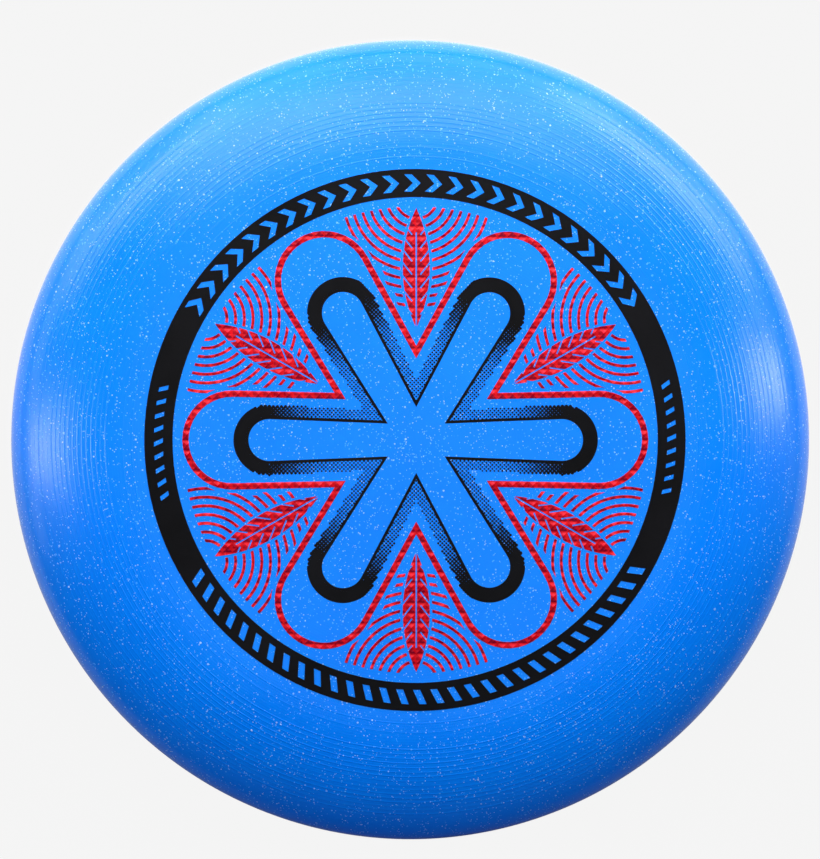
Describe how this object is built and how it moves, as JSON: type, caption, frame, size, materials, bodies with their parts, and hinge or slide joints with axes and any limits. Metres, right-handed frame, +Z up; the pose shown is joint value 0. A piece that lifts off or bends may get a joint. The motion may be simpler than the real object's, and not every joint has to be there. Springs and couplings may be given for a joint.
{
  "type": "flying disc",
  "caption": "Flying disc with a flat plate, ringed shoulder, deep hollow rim and stamped foil graphics: a dark band round a petal figure with leaves and ripples.",
  "frame": {"origin": "centre of the flat circular land that the rim rests on", "axes": "+Z up through the flight plate, which is on top; +Y points to the middle of the chevron row on the band; +X to its right"},
  "size_m": [0.273, 0.273, 0.0321],
  "materials": {
    "blue_plastic": "glossy, slightly translucent blue polyethylene with fine silver glitter",
    "black_foil": "satin black pigment foil",
    "red_foil": "red prismatic metallised foil"
  },
  "bodies": {
    "root": {"disc_body": "blue_plastic", "band_foil": "black_foil", "petal_figure_foil": "black_foil", "petal_outline_foil": "red_foil", "leaf_foil_1": "red_foil", "leaf_foil_2": "red_foil", "leaf_foil_3": "red_foil", "leaf_foil_4": "red_foil", "leaf_foil_5": "red_foil", "leaf_foil_6": "red_foil", "ripple_foil_1": "red_foil", "ripple_foil_2": "red_foil", "ripple_foil_3": "red_foil", "ripple_foil_4": "red_foil", "ripple_foil_5": "red_foil", "ripple_foil_6": "red_foil"}
  },
  "joints": []
}
